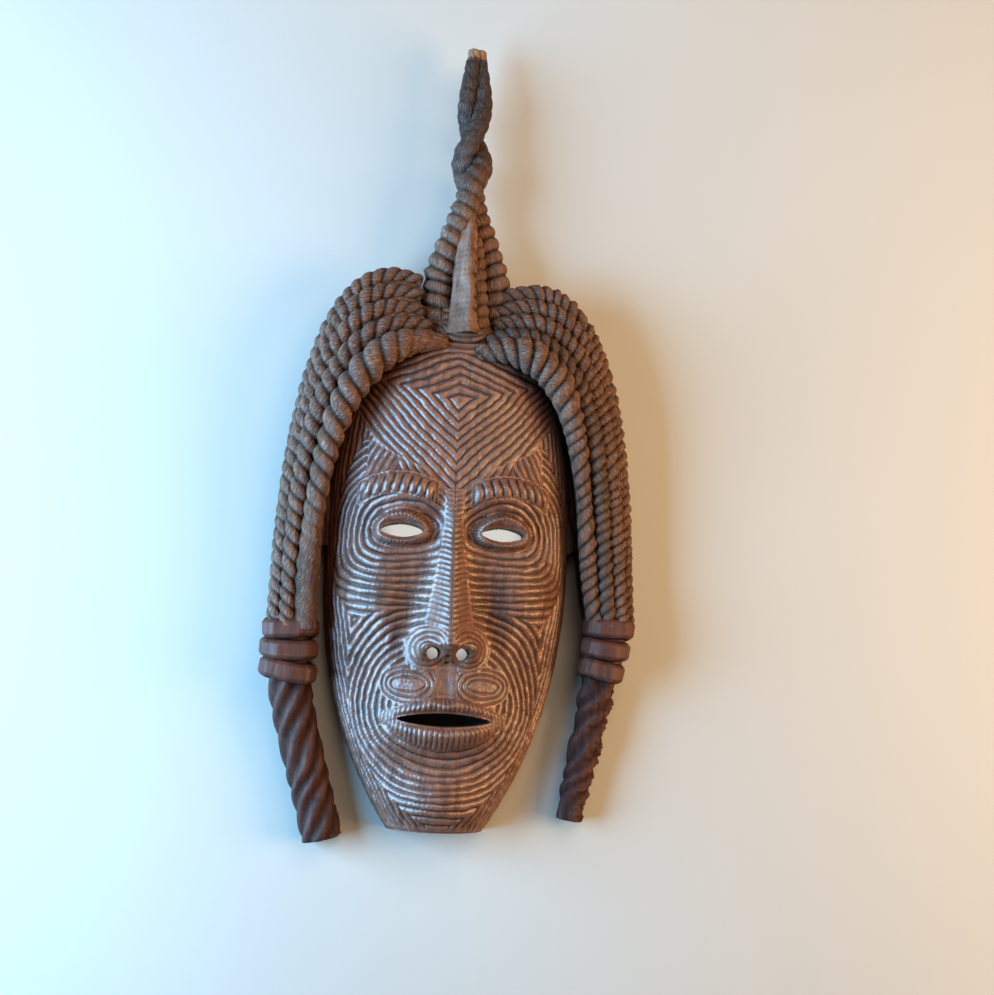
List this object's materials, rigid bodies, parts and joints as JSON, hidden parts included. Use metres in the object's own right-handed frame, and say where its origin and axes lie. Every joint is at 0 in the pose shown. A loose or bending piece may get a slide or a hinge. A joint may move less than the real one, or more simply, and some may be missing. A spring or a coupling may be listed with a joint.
{
  "type": "tribal mask",
  "caption": "Carved wooden face mask, hollow behind, with pierced eyes and mouth, twisted locks of hair tied at both sides and a tall twisted spire on the crown.",
  "frame": {"origin": "middle of the flat back's bounding rectangle, so the mask lies on its back above it", "axes": "+Z out of the face, +Y from the chin to the spire, +X to the right as the face is looked at"},
  "size_m": [0.2626, 0.5626, 0.0791],
  "materials": {
    "carved_wood": "dark stained, rubbed on the raised edges"
  },
  "bodies": {
    "root": {"mask": "carved_wood"}
  },
  "joints": []
}
